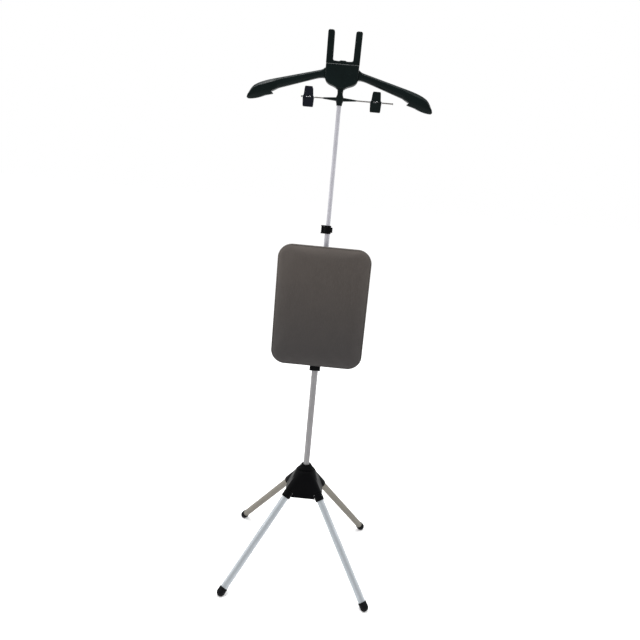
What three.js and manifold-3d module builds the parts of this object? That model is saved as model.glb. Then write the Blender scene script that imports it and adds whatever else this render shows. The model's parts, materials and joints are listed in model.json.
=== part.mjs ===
// Stand of a garment steamer: a folding four-legged base, a telescopic pole, a padded pressing
// board, and a hanger head with a fork for the steam head and a rod with two trouser clips.
// Millimetres, +Z up. The origin is on the floor under the pole's axis, the front faces -Y, and
// the hanger's arms lie along X.

import * as THREE from 'three';
import { mergeVertices } from 'three/addons/utils/BufferGeometryUtils.js';
import Module from 'manifold-3d';

const wasm = await Module();
wasm.setup();

// ---------------------------------------------------------------- driving dimensions
const GAP = 0.3; // between faces that touch
const RUN = 0.2; // radial clearance of a piece that turns or slides on another
const BIG = 400; // reach of a cutting block
const ROUND = 24; // sides of a round body

const LEG = {
  azimuths: { front_right: -45, rear_right: 45, rear_left: 135, front_left: -135 },
  pivotRadius: 30, // of the fold axis, from the pole's axis
  pivotHeight: 260,
  footRadius: 264,
  tubeRadius: 9.5,
  tubeWall: 0.9,
  barrelRadius: 8, // hinge barrel of the knuckle
  barrelHalf: 6,
  tongueRadius: 10,
  tongueStart: 14, // along the leg, from the fold axis
  socketRadius: 12.4,
  socketStart: 37,
  socketEnd: 56,
  insertStart: 42,
  pinRadius: 2.4,
};
const FOOT = { radius: 11, tipHeight: 9.5, length: 13, boreEnd: 2.5 };
const HUB = {
  topHeight: 287,
  skirtHeight: 222,
  topHalf: 24,
  shoulderHeight: 283,
  shoulderHalf: 27,
  skirtHalf: 51.5,
  skirtCorner: 13,
  wall: 2.5,
  hoodStart: -14,
  slotRadius: 10.3,
  coreRadius: 12.8,
  coreBottom: 240,
  neckRadius: 11.5,
  neckTop: 297,
};
const NUT = { bottom: 287.4, top: 301.5, lowRadius: 21, highRadius: 13.2, ribs: 18, ribDepth: 0.7 };
const POLE = {
  lower: { radius: 8.25, wall: 0.9, bottom: 243, top: 720 },
  middle: { radius: 6.6, wall: 0.9, bottom: 470, top: 950 },
  upper: { radius: 5.25, wall: 0.9, bottom: 806, top: 1262 },
};
const CLAMP = {
  lower: { radius: 10.5, bottom: 706, top: 730, turn: 180 },
  upper: { radius: 8.4, bottom: 940, top: 961, turn: 0 },
  pinReach: 5, // of the lever's pin, outside the collar
  pinRadius: 1.4,
  ear: 3.6, // height of each of the collar's two ears
  barrelRadius: 3.4,
  split: 1.2,
  chamfer: 0.8,
  strapGap: 0.5, // from the collar to the lever's strap
  strap: 2.9,
  strapFrom: 176, // degrees round the pole
  strapTo: 331,
};
const BOARD = {
  width: 237,
  height: 314,
  corner: 36,
  centreHeight: 752,
  front: -37,
  back: -19.5,
  edge: 2.5,
  cover: 1.6,
  lip: 4,
  plate: 3,
  plateInset: 1.2, // of the plate's back, from the cover's back
  ribX: 60,
  ribWidth: 3,
  ribHalf: 118,
};
const SCREW = { shank: 1.1, hole: 1.4, headRadius: 2.8, headHeight: 1.8 };
const CARRIAGE = {
  low: -107, // heights from the board's centre
  high: -57,
  flangeWidth: 60,
  flange: 3,
  webHalf: 12,
  sleeveRadius: 13,
  bossRadius: 7,
  bossEnd: 15,
  screws: [[-22, -82], [22, -82]],
};
const KNOB = {
  radius: 13,
  lobe: 1.3,
  lobes: 6,
  front: 19,
  back: 30,
  hubRadius: 6,
  studRadius: 2.5,
  studStart: 9.4,
  studEnd: 24,
};
const GUIDE = {
  low: -173, // heights from the board's centre
  high: -152,
  flangeTop: -134,
  half: 14,
  armHalf: 11,
  sleeveRadius: 12,
  screws: [[-9, -141], [9, -141]],
};
const HEAD = {
  half: 40,
  top: 1344,
  bottom: 1288,
  depth: 13,
  edge: 2.2,
  wall: 2.5,
  seam: 0.3, // between the front and the rear shell
  bossRadius: 4,
  forkFloor: 1330,
  screws: [[-31, 1321], [31, 1321], [0, 1302]],
};
const TONGUE = { inner: 24, low: 1313, high: 1329, depth: 9 }; // of an arm, inside the head
const FORK = { depth: 10, outer: 41, inner: 25, top: 1418.5, saddle: 1351, root: 36.5, corner: 5 };
const ARM = { depth: 11, root: 40.3, tip: 225 };
const NECK = { spigotBottom: 1243, bottom: 1250, collarRadius: 7.4, rootBottom: 1287, top: 1308 };
const ROD = { radius: 1.6, left: -94, right: 130, height: 1265, lip: 0.7 };
const SLEEVE = { end: 40, endRadius: 1.9, middle: 9, radius: 4.4 }; // holds the rod either side
const CLIP = {
  centres: { left: -76, right: 88 },
  barrelRadius: 2.3,
  barrelHalf: 15,
  ringRadius: 4.2,
  ringHalf: 1.2,
  frontRings: 10.2, // x of a jaw's two hinge rings, from the clip's middle
  rearRings: 7.3,
  handleTop: 23.5,
  jawBottom: -23,
  windowHalf: 9, // of the opening in a jaw that shows the barrel
  windowHeight: 2.6,
};
const SPRING = { coil: 3.3, wire: 0.4, turns: 3.25, half: 4, legHeight: 6.2 };

// ---------------------------------------------------------------- finishes
const finish = (color, roughness, metalness = 0) => ({ color, roughness, metalness });
const BLACK_PLASTIC = finish(0x15181a, 0.5);
const GREEN_BLACK_PLASTIC = finish(0x121a19, 0.45);
const NYLON = finish(0xd8d8d2, 0.6);
const TUBE = finish(0xc4c7ca, 0.32, 1);
const STEEL = finish(0xa9abac, 0.35, 1);
const RUBBER = finish(0x0c0d0d, 0.85);
const COVER_FABRIC = finish(0x4a4541, 0.95);
const FOAM = finish(0x9c9a90, 1);

// ---------------------------------------------------------------- solids
// A closed three.js geometry as a solid with its faces pointing out.
function solid(geometry) {
  const bare = geometry.clone();
  bare.deleteAttribute('normal');
  bare.deleteAttribute('uv');
  const merged = mergeVertices(bare, 1e-4);
  const index = merged.index.array;
  const faces = [];
  for (let i = 0; i < index.length; i += 3) {
    const [a, b, c] = [index[i], index[i + 1], index[i + 2]];
    if (a !== b && b !== c && c !== a) faces.push([a, b, c]);
  }
  const mesh = (list) => new wasm.Mesh({
    numProp: 3,
    vertProperties: new Float32Array(merged.attributes.position.array),
    triVerts: new Uint32Array(list.flat()),
  });
  const made = new wasm.Manifold(mesh(faces));
  if (made.volume() > 0) return made;
  return new wasm.Manifold(mesh(faces.map(([a, b, c]) => [a, c, b])));
}

const join = (first, ...rest) => rest.reduce((sum, next) => sum.add(next), first);
const cut = (first, ...rest) => rest.reduce((left, next) => left.subtract(next), first);

function geometryOf(body) {
  const mesh = body.getMesh();
  const geometry = new THREE.BufferGeometry();
  geometry.setAttribute('position', new THREE.BufferAttribute(new Float32Array(mesh.vertProperties), 3));
  geometry.setIndex(new THREE.BufferAttribute(new Uint32Array(mesh.triVerts), 1));
  geometry.computeVertexNormals();
  return geometry;
}

function piece(parent, name, body, look) {
  const mesh = new THREE.Mesh(geometryOf(body), new THREE.MeshStandardMaterial(look));
  mesh.name = name;
  parent.add(mesh);
  return mesh;
}

// A block from its lowest to its highest corner.
function block(low, high) {
  const size = high.map((value, i) => value - low[i]);
  const box = new THREE.BoxGeometry(...size);
  box.translate(...high.map((value, i) => (value + low[i]) / 2));
  return solid(box);
}

// A body of revolution about Z from [radius, height] pairs that start and end on the axis, or
// that close on themselves.
function turned(profile, segments = ROUND) {
  const points = profile.map(([radius, height]) => new THREE.Vector2(radius, height));
  return solid(new THREE.LatheGeometry(points, segments).rotateX(Math.PI / 2));
}

function ring(inner, outer, bottom, top, segments = ROUND) {
  return turned([[inner, bottom], [outer, bottom], [outer, top], [inner, top], [inner, bottom]], segments);
}

function rod(radius, bottom, top, segments = radius > 4 ? ROUND : ROUND / 2) {
  return turned([[0, bottom], [radius, bottom], [radius, top], [0, top]], segments);
}

// The same body with its Z axis laid along X or Y, or moved.
const alongX = (body) => body.rotate([0, 90, 0]);
const alongY = (body) => body.rotate([-90, 0, 0]);
const moved = (body, x, y, z) => body.translate([x, y, z]);

// The points of a path. A pair of numbers is reached by a straight line, and four numbers by a
// quadratic curve, its control point first.
function pathPoints([start, ...rest], steps = 8) {
  const drawn = new THREE.Path();
  drawn.moveTo(...start);
  for (const part of rest) {
    if (part.length === 2) drawn.lineTo(...part);
    else drawn.quadraticCurveTo(...part);
  }
  return drawn.getPoints(steps);
}

const outline = (path, steps) => new THREE.Shape(pathPoints(path, steps));

// The outline of a body with equal halves, from the path of its half at +X.
function evenOutline(path, steps) {
  const right = pathPoints(path, steps);
  const left = right.map(({ x, y }) => new THREE.Vector2(-x, y)).reverse();
  return new THREE.Shape([...right, ...left]);
}

function roundedRectangle(width, height, radius) {
  const [x, y] = [width / 2 - radius, height / 2 - radius];
  const shape = new THREE.Shape();
  shape.absarc(x, y, radius, 0, Math.PI / 2);
  shape.absarc(-x, y, radius, Math.PI / 2, Math.PI);
  shape.absarc(-x, -y, radius, Math.PI, Math.PI * 1.5);
  shape.absarc(x, -y, radius, Math.PI * 1.5, Math.PI * 2);
  shape.closePath();
  return shape;
}

// An outline in (x, z) given thickness from y = front to y = back, its two rims rounded by edge.
function slab(shape, front, back, edge = 0, curveSegments = 8) {
  const geometry = new THREE.ExtrudeGeometry(shape, {
    depth: back - front - 2 * edge,
    bevelEnabled: edge > 0,
    bevelSize: edge,
    bevelOffset: -edge,
    bevelThickness: edge,
    bevelSegments: 1,
    curveSegments,
  });
  return solid(geometry.rotateX(Math.PI / 2).translate(0, back - edge, 0));
}

// An outline in (y, z) given thickness from x = low to x = high.
function sideSlab(shape, low, high, curveSegments = 8) {
  const options = { depth: high - low, bevelEnabled: false, curveSegments };
  const axes = new THREE.Matrix4().makeBasis(
    new THREE.Vector3(0, 1, 0),
    new THREE.Vector3(0, 0, 1),
    new THREE.Vector3(1, 0, 0),
  );
  const geometry = new THREE.ExtrudeGeometry(shape, options).applyMatrix4(axes);
  return solid(geometry.translate(low, 0, 0));
}

// A closed body through level outlines of the same number of corners, lowest first.
function loft(levels) {
  const count = levels[0].points.length;
  const vertices = levels.flatMap(({ points, z }) => points.flatMap(([x, y]) => [x, y, z]));
  const faces = [];
  for (let level = 0; level + 1 < levels.length; level += 1) {
    for (let i = 0; i < count; i += 1) {
      const [a, b] = [level * count + i, level * count + ((i + 1) % count)];
      faces.push(a, b, b + count, a, b + count, a + count);
    }
  }
  const last = (levels.length - 1) * count;
  const [low, high] = [vertices.length / 3, vertices.length / 3 + 1];
  vertices.push(0, 0, levels[0].z, 0, 0, levels[levels.length - 1].z);
  for (let i = 0; i < count; i += 1) {
    const next = (i + 1) % count;
    faces.push(low, next, i, high, last + i, last + next);
  }
  const geometry = new THREE.BufferGeometry();
  geometry.setAttribute('position', new THREE.Float32BufferAttribute(vertices, 3));
  geometry.setIndex(faces);
  return solid(geometry);
}

function squareLevel(z, half, corner, steps = 6) {
  const points = [];
  for (let quarter = 0; quarter < 4; quarter += 1) {
    const [sx, sy] = [[1, 1], [-1, 1], [-1, -1], [1, -1]][quarter];
    for (let i = 0; i <= steps; i += 1) {
      const angle = (quarter + i / (steps + 0.001)) * (Math.PI / 2);
      const reach = half - corner;
      points.push([sx * reach + corner * Math.cos(angle), sy * reach + corner * Math.sin(angle)]);
    }
  }
  return { points, z };
}

// ---------------------------------------------------------------- leg geometry
// A leg's own frame has its origin on the fold axis, +X along the leg, and Y along the fold axis.
const legRun = LEG.footRadius - LEG.pivotRadius;
const legDrop = LEG.pivotHeight - FOOT.tipHeight;
const LEG_LENGTH = Math.hypot(legRun, legDrop); // from the fold axis to the centre of the foot's tip
const LEG_TILT = Math.atan2(legDrop, legRun); // below the horizontal

// Puts a body from a leg's own frame into the hub's frame.
function atLeg(body, azimuth) {
  const tilted = body.rotate([0, THREE.MathUtils.radToDeg(LEG_TILT), 0]);
  return moved(tilted, LEG.pivotRadius, 0, LEG.pivotHeight).rotate([0, 0, azimuth]);
}

// ---------------------------------------------------------------- base
function hubShell() {
  const outer = loft([
    squareLevel(HUB.skirtHeight, HUB.skirtHalf, HUB.skirtCorner),
    squareLevel(HUB.shoulderHeight, HUB.shoulderHalf, HUB.shoulderHalf - 2),
    squareLevel(HUB.topHeight, HUB.topHalf, HUB.topHalf - 0.5),
  ]);
  const inner = loft([
    squareLevel(HUB.skirtHeight - 1, HUB.skirtHalf - HUB.wall + 0.4, HUB.skirtCorner - HUB.wall),
    squareLevel(HUB.shoulderHeight - 2 * HUB.wall, HUB.shoulderHalf - 1, HUB.shoulderHalf - 4),
  ]);
  return { outer, inner };
}

// The solid between the core and the hood that carries one leg's pin, before its slot is cut.
const CHEEK = { low: [10, -LEG.socketRadius, 249], high: [46, LEG.socketRadius, 290] };

// The round hood over one leg's knuckle.
const hubHood = () => alongX(rod(LEG.socketRadius, HUB.hoodStart, LEG.socketStart - GAP));

// What one leg takes out of the hub: the channel over the tongue, the barrel's slot, the pin's
// hole, and the way that the socket swings down.
function hubSlot() {
  const barrelReach = LEG.barrelRadius + GAP;
  const tongueSide = HUB.slotRadius;
  const channelStart = LEG.tongueStart - 5.5;
  const channel = join(
    alongX(rod(HUB.slotRadius, channelStart, LEG.socketStart)),
    block([channelStart, -tongueSide, -60], [LEG.socketStart, tongueSide, 0]),
  );
  const barrelSlot = join(
    alongY(rod(barrelReach, -LEG.barrelHalf - GAP, LEG.barrelHalf + GAP)),
    block([-barrelReach, -LEG.barrelHalf - GAP, -60], [LEG.tongueStart, LEG.barrelHalf + GAP, 0]),
    block([0, -LEG.barrelHalf - GAP, -barrelReach], [LEG.tongueStart, LEG.barrelHalf + GAP, barrelReach]),
  );
  const pinHole = alongY(rod(LEG.pinRadius + RUN, -LEG.socketRadius - 1, LEG.socketRadius + 1));
  return join(channel, barrelSlot, pinHole, socketSwing());
}

// The space that the knuckle's socket passes through, from the open leg to the folded one.
function socketSwing() {
  const reach = LEG.socketStart - GAP;
  const side = LEG.socketRadius + GAP;
  const far = 2.4 * reach;
  const low = THREE.MathUtils.degToRad(80);
  const sector = new THREE.Shape();
  sector.moveTo(reach, 0);
  sector.absarc(0, 0, reach, 0, -low, true);
  sector.lineTo(far * Math.cos(low), -far * Math.sin(low));
  sector.lineTo(far, -far * 0.6);
  sector.lineTo(far, 0);
  return join(slab(sector, -side, side, 0, 12), alongX(rod(side, reach, far)));
}

function hubBody() {
  const { outer, inner } = hubShell();
  const core = rod(HUB.coreRadius, HUB.coreBottom, HUB.topHeight);
  const neck = rod(HUB.neckRadius, HUB.topHeight - 1, HUB.neckTop);
  const below = block([-BIG, -BIG, 0], [BIG, BIG, HUB.skirtHeight]);
  let body = join(cut(outer, inner), core, neck);
  const slots = [];
  for (const azimuth of Object.values(LEG.azimuths)) {
    const cheeks = block(CHEEK.low, CHEEK.high).rotate([0, 0, azimuth]).intersect(outer);
    body = join(body, cheeks, atLeg(hubHood(), azimuth));
    slots.push(atLeg(hubSlot(), azimuth));
  }
  const poleBore = rod(POLE.lower.radius + RUN, POLE.lower.bottom - GAP, BIG);
  const drain = rod(POLE.lower.radius - 2, 0, BIG);
  return cut(body, ...slots, poleBore, drain, below);
}

function lockNut() {
  const heights = [NUT.bottom, NUT.bottom + 2, NUT.top - 2, NUT.top];
  const radii = [NUT.lowRadius - 1, NUT.lowRadius, NUT.highRadius + 1, NUT.highRadius - 0.8];
  const stepsPerRib = 2;
  const levels = heights.map((z, level) => {
    const points = [];
    for (let i = 0; i < NUT.ribs * stepsPerRib; i += 1) {
      const angle = (i / (NUT.ribs * stepsPerRib)) * Math.PI * 2;
      const depth = level === 1 || level === 2 ? NUT.ribDepth : 0;
      const radius = radii[level] + depth * (i % stepsPerRib ? -1 : 0);
      points.push([radius * Math.cos(angle), radius * Math.sin(angle)]);
    }
    return { points, z };
  });
  const thread = rod(HUB.neckRadius + GAP, NUT.bottom - 1, HUB.neckTop + 0.5);
  const hole = rod(POLE.lower.radius + GAP, NUT.bottom - 1, NUT.top + 1);
  return cut(loft(levels), thread, hole);
}

function knuckle() {
  const barrel = alongY(rod(LEG.barrelRadius, -LEG.barrelHalf, LEG.barrelHalf));
  const link = block([0, -LEG.barrelHalf, -6.5], [LEG.tongueStart + 2, LEG.barrelHalf, 6.5]);
  const tongue = alongX(rod(LEG.tongueRadius, LEG.tongueStart, LEG.socketStart + 1));
  const socket = alongX(turned([
    [0, LEG.socketStart],
    [LEG.socketRadius, LEG.socketStart],
    [LEG.socketRadius, LEG.socketEnd - 1.2],
    [LEG.socketRadius - 1.2, LEG.socketEnd],
    [LEG.tubeRadius + RUN, LEG.socketEnd],
    [LEG.tubeRadius + RUN, LEG.insertStart],
    [0, LEG.insertStart],
  ]));
  const pinHole = alongY(rod(LEG.pinRadius + RUN, -LEG.socketRadius, LEG.socketRadius));
  return cut(join(barrel, link, tongue, socket), pinHole);
}

function foot() {
  const start = LEG_LENGTH - FOOT.length;
  const boreEnd = LEG_LENGTH - FOOT.boreEnd;
  const profile = [
    [LEG.tubeRadius + RUN, boreEnd],
    [LEG.tubeRadius + RUN, start],
    [FOOT.radius - 0.6, start],
    [FOOT.radius, start + 0.6],
  ];
  const tipSteps = 5;
  for (let i = 0; i <= tipSteps; i += 1) {
    const angle = (i / tipSteps) * (Math.PI / 2);
    profile.push([FOOT.radius * Math.cos(angle), LEG_LENGTH + FOOT.radius * Math.sin(angle)]);
  }
  profile.push([0, boreEnd], [LEG.tubeRadius + RUN, boreEnd]);
  const floor = moved(block([-BIG, -BIG, -BIG], [BIG, BIG, 0]), -LEG.pivotRadius, 0, -LEG.pivotHeight);
  return cut(alongX(turned(profile)), floor.rotate([0, -THREE.MathUtils.radToDeg(LEG_TILT), 0]));
}

function addLeg(parent, name, azimuth) {
  const spoke = new THREE.Group();
  spoke.rotation.z = THREE.MathUtils.degToRad(azimuth);
  const leg = new THREE.Group();
  leg.position.set(LEG.pivotRadius, 0, LEG.pivotHeight);
  leg.rotation.y = LEG_TILT;
  spoke.add(leg);
  parent.add(spoke);
  const tubeEnd = LEG_LENGTH - FOOT.boreEnd - GAP;
  const tube = ring(LEG.tubeRadius - LEG.tubeWall, LEG.tubeRadius, LEG.insertStart + GAP, tubeEnd);
  piece(leg, `leg_knuckle_${name}`, knuckle(), BLACK_PLASTIC);
  piece(leg, `leg_tube_${name}`, alongX(tube), TUBE);
  piece(leg, `leg_foot_${name}`, foot(), RUBBER);
  const pin = rod(LEG.pinRadius, -LEG.socketRadius, LEG.socketRadius);
  piece(leg, `leg_pivot_pin_${name}`, alongY(pin), STEEL);
}

function addBase(parent) {
  piece(parent, 'hub_body', hubBody(), BLACK_PLASTIC);
  piece(parent, 'pole_lock_nut', lockNut(), BLACK_PLASTIC);
  for (const [name, azimuth] of Object.entries(LEG.azimuths)) addLeg(parent, name, azimuth);
}

// ---------------------------------------------------------------- pole
function addTube(parent, name, tube) {
  piece(parent, name, ring(tube.radius - tube.wall, tube.radius, tube.bottom, tube.top), TUBE);
}

// A plug in the foot of an inner tube whose collar slides in the outer tube.
function glide(inner, outer) {
  const collar = outer.radius - outer.wall - RUN;
  const stem = inner.radius - inner.wall - RUN;
  const bottom = inner.bottom - 8;
  return turned([
    [stem - 1.4, bottom],
    [collar, bottom],
    [collar, inner.bottom - GAP],
    [stem, inner.bottom - GAP],
    [stem, inner.bottom + 24],
    [stem - 1.4, inner.bottom + 24],
    [stem - 1.4, bottom],
  ]);
}

// A flip clamp on top of the outer tube. Its own frame has its lever's pin on the -X side.
function addClamp(parent, name, outer, inner) {
  const { radius, bottom, top, turn } = CLAMP[name];
  const clamp = new THREE.Group();
  clamp.position.z = bottom;
  clamp.rotation.z = THREE.MathUtils.degToRad(turn);
  parent.add(clamp);
  const height = top - bottom;
  const pinX = -(radius + CLAMP.pinReach);
  const shoulder = outer.top - bottom + GAP;
  const bores = join(
    rod(outer.radius + RUN, -1, shoulder),
    rod(inner.radius + RUN, 0, height + 1),
    moved(rod(CLAMP.pinRadius + RUN, -1, height + 1), pinX, 0, 0),
  );
  piece(clamp, `${name}_clamp_collar`, clampCollar(radius, height, pinX).subtract(bores), BLACK_PLASTIC);
  piece(clamp, `${name}_clamp_lever`, clampLever(radius, height, pinX), BLACK_PLASTIC);
  piece(clamp, `${name}_clamp_pin`, moved(rod(CLAMP.pinRadius, RUN, height - RUN), pinX, 0, 0), STEEL);
}

// The split collar and its two ears, with no bores yet.
function clampCollar(radius, height, pinX) {
  const { ear, chamfer, split } = CLAMP;
  const lugHalf = CLAMP.barrelRadius + chamfer;
  const lug = join(
    block([pinX, -lugHalf, 0], [-radius + 2, lugHalf, height]),
    moved(rod(lugHalf, 0, height), pinX, 0, 0),
  );
  const window = block([-BIG, -radius, ear], [-radius + 3, radius, height - ear]);
  const sleeve = turned([
    [0, 0],
    [radius - chamfer, 0],
    [radius, chamfer],
    [radius, height - chamfer],
    [radius - chamfer, height],
    [0, height],
  ]);
  const slit = block([-radius - 3, -split / 2, -1], [-2, split / 2, height + 1]);
  return cut(join(sleeve, cut(lug, window)), slit);
}

function clampLever(radius, height, pinX) {
  const [start, end] = [CLAMP.strapFrom, CLAMP.strapTo].map(THREE.MathUtils.degToRad);
  const inside = radius + CLAMP.strapGap;
  const outside = inside + CLAMP.strap;
  const tall = height - 2 * (CLAMP.ear + GAP);
  const arc = new THREE.Shape();
  arc.absarc(0, 0, outside, start, end, false);
  arc.absarc(0, 0, inside, end, start, true);
  const options = { depth: tall, bevelEnabled: false, curveSegments: 12 };
  const strap = solid(new THREE.ExtrudeGeometry(arc, options));
  const tab = block([inside + GAP, -1.4, 0], [outside + 1.6, 1.4, tall]).rotate([0, 0, CLAMP.strapTo]);
  const hinge = moved(rod(CLAMP.barrelRadius, 0, tall), pinX, 0, 0);
  const hole = moved(rod(CLAMP.pinRadius + RUN, -1, height), pinX, 0, 0);
  return moved(cut(join(strap, tab, hinge), hole), 0, 0, CLAMP.ear + GAP);
}

function addPole(parent) {
  addTube(parent, 'lower_tube', POLE.lower);
  addTube(parent, 'middle_tube', POLE.middle);
  addTube(parent, 'upper_tube', POLE.upper);
  piece(parent, 'middle_tube_glide', glide(POLE.middle, POLE.lower), NYLON);
  piece(parent, 'upper_tube_glide', glide(POLE.upper, POLE.middle), NYLON);
  addClamp(parent, 'lower', POLE.lower, POLE.middle);
  addClamp(parent, 'upper', POLE.middle, POLE.upper);
}

// ---------------------------------------------------------------- board
const boardOutline = (inset) => roundedRectangle(
  BOARD.width - 2 * inset,
  BOARD.height - 2 * inset,
  BOARD.corner - inset,
);
const PLATE_BACK = BOARD.back - BOARD.plateInset;
const PLATE_FRONT = PLATE_BACK - BOARD.plate;

// A pan-head screw along Y with its head seated at y = seat, and its tip at y = tip.
function screw(seat, tip) {
  const { shank, headRadius, headHeight } = SCREW;
  return alongY(turned([
    [0, tip],
    [shank, tip],
    [shank, seat],
    [headRadius, seat],
    [headRadius * 0.8, seat + headHeight - 0.2],
    [0, seat + headHeight],
  ], ROUND / 2));
}

// Holes along Y at [x, z] places, from y = front to y = back.
const drilled = (places, radius, front, back) => places
  .map(([x, z]) => moved(alongY(rod(radius, front, back)), x, 0, z));

function addBoard(parent) {
  const board = new THREE.Group();
  board.position.z = BOARD.centreHeight;
  parent.add(board);
  const { front, back, cover, lip, ribX, ribWidth, ribHalf } = BOARD;
  const pocket = slab(boardOutline(lip), front + cover, back + 1);
  piece(board, 'board_cover', cut(slab(boardOutline(0), front, back, BOARD.edge), pocket), COVER_FABRIC);
  const foam = slab(boardOutline(lip + GAP), front + cover + GAP, PLATE_FRONT - GAP);
  piece(board, 'board_foam', foam, FOAM);

  // Back plate with a stiffening rib either side of the carriage.
  const ribs = [-ribX, ribX].map((x) => block(
    [x - ribWidth / 2, PLATE_BACK - 1, -ribHalf],
    [x + ribWidth / 2, PLATE_BACK + 2.5, ribHalf],
  ));
  const screws = [...CARRIAGE.screws, ...GUIDE.screws];
  const holes = drilled(screws, SCREW.hole, PLATE_FRONT - 1, PLATE_BACK + 1);
  const plate = cut(join(slab(boardOutline(lip + GAP), PLATE_FRONT, PLATE_BACK), ...ribs), ...holes);
  piece(board, 'board_plate', plate, BLACK_PLASTIC);
  addCarriage(board);
  addGuide(board);
  const seat = PLATE_BACK + CARRIAGE.flange + 2 * GAP;
  screws.forEach(([x, z], i) => {
    piece(board, `board_screw_${i + 1}`, moved(screw(seat, PLATE_FRONT + 0.4), x, 0, z), STEEL);
  });
}

// The carriage grips the lower tube with a thumb knob behind it.
function addCarriage(board) {
  const { low, high, flangeWidth, flange, webHalf, screws } = CARRIAGE;
  const front = PLATE_BACK + GAP;
  const middle = (low + high) / 2;
  const body = join(
    moved(slab(roundedRectangle(flangeWidth, high - low, 6), front, front + flange), 0, 0, middle),
    block([-webHalf, front + 1, low + 4], [webHalf, 0, high - 4]),
    rod(CARRIAGE.sleeveRadius, low + 4, high - 4),
    moved(alongY(rod(CARRIAGE.bossRadius, 0, CARRIAGE.bossEnd)), 0, 0, middle),
  );
  const bore = rod(POLE.lower.radius + GAP, low, high);
  const studBore = moved(alongY(rod(KNOB.studRadius + RUN, 0, KNOB.studEnd)), 0, 0, middle);
  const holes = drilled(screws, SCREW.hole, front - 1, front + flange + 1);
  piece(board, 'board_carriage', cut(body, bore, studBore, ...holes), BLACK_PLASTIC);

  const stud = alongY(rod(KNOB.studRadius, KNOB.studStart, KNOB.studEnd));
  piece(board, 'board_knob_stud', moved(stud, 0, 0, middle), STEEL);
  piece(board, 'board_knob', moved(knobGrip(), 0, 0, middle), BLACK_PLASTIC);
}

function knobGrip() {
  const steps = 24;
  const rim = Array.from({ length: steps }, (_, i) => {
    const angle = (i / steps) * Math.PI * 2;
    const radius = KNOB.radius + KNOB.lobe * Math.cos(angle * KNOB.lobes);
    return [radius * Math.cos(angle), radius * Math.sin(angle)];
  });
  const hub = alongY(rod(KNOB.hubRadius, CARRIAGE.bossEnd + 0.4, KNOB.front + 1));
  const bore = alongY(rod(KNOB.studRadius + RUN, 0, KNOB.studEnd + 0.4));
  return cut(join(slab(outline(rim), KNOB.front, KNOB.back, 1.5), hub), bore);
}

// The guide ring under the board keeps it square to the tube.
function addGuide(board) {
  const { low, high, flangeTop, half, armHalf, screws } = GUIDE;
  const front = PLATE_BACK + GAP;
  const back = front + CARRIAGE.flange;
  const body = join(
    block([-half, front, high + 0.5], [half, back, flangeTop]),
    block([-half, BOARD.back + GAP, low], [half, BOARD.back + 4, high + 3]),
    block([-armHalf, BOARD.back + 2, low], [armHalf, 0, high]),
    rod(GUIDE.sleeveRadius, low, high),
  );
  const bore = rod(POLE.lower.radius + GAP, low - 1, high + 1);
  const holes = drilled(screws, SCREW.hole, front - 1, back + 1);
  piece(board, 'board_guide', cut(body, bore, ...holes), BLACK_PLASTIC);
}

// ---------------------------------------------------------------- hanger head
function headOutline(inset) {
  const half = HEAD.half - inset;
  const low = HEAD.bottom + inset;
  return evenOutline([
    [9 - inset / 2, low],
    [12, low + 4, 24, low + 7.5],
    [half - 2, low + 12, half, 1311],
    [half, HEAD.top - inset],
  ]);
}

// The space between the planes y = -half and y = half, from z = low to z = high.
const layer = (half, low, high, reach = BIG) => block([-reach, -half, low], [reach, half, high]);

function headShells() {
  const { depth, wall, seam, screws } = HEAD;
  const body = slab(headOutline(0), -depth, depth, HEAD.edge);
  const cavity = slab(headOutline(wall), -depth + wall, depth - wall);
  const armMouths = layer(TONGUE.depth + GAP, TONGUE.low - GAP, TONGUE.high + GAP);
  const forkMouth = layer(FORK.depth + GAP, HEAD.forkFloor, HEAD.top + 10, FORK.root + 1);
  const neckHalf = NECK.collarRadius + 0.4;
  const neckMouth = layer(neckHalf, HEAD.bottom - 8, HEAD.bottom + 12, neckHalf);
  const bosses = screws.map(([x, z]) => moved(alongY(rod(HEAD.bossRadius, 1 - depth, depth - 1)), x, 0, z));
  const bossGap = layer(NECK.collarRadius + 0.1, 0, BIG * 4);
  const pillars = cut(join(...bosses), bossGap, armMouths).intersect(body);
  const shells = cut(
    join(cut(body, cavity, forkMouth, armMouths, neckMouth), pillars),
    ...drilled(screws, SCREW.hole, wall - depth, depth),
    ...drilled(screws, SCREW.headRadius + 0.4, depth - wall + 0.1, depth + 1),
  );
  return {
    front: shells.intersect(block([-BIG, -BIG, 0], [BIG, -seam / 2, BIG * 4])),
    rear: shells.intersect(block([-BIG, seam / 2, 0], [BIG, BIG, BIG * 4])),
  };
}

// The fork that holds the steam head, its root inside the shells.
function fork() {
  const { depth, outer, inner, top, saddle, root, corner } = FORK;
  const shoulder = HEAD.top + GAP + 0.5;
  return slab(evenOutline([
    [14, 1317],
    [16, 1333],
    [root, 1333],
    [root, shoulder],
    [outer - 0.6, shoulder],
    [outer, top - corner],
    [outer, top, outer - corner, top],
    [inner + corner, top],
    [inner, top - 0.5, inner, top - corner - 1],
    [inner - 0.8, saddle + 4],
    [inner - 1, saddle - 0.4, inner - 6, saddle - 0.4],
    [12, saddle - 0.8],
    [8, saddle - 0.8, 6, saddle + 1],
  ]), -depth, depth, 1.2);
}

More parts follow.
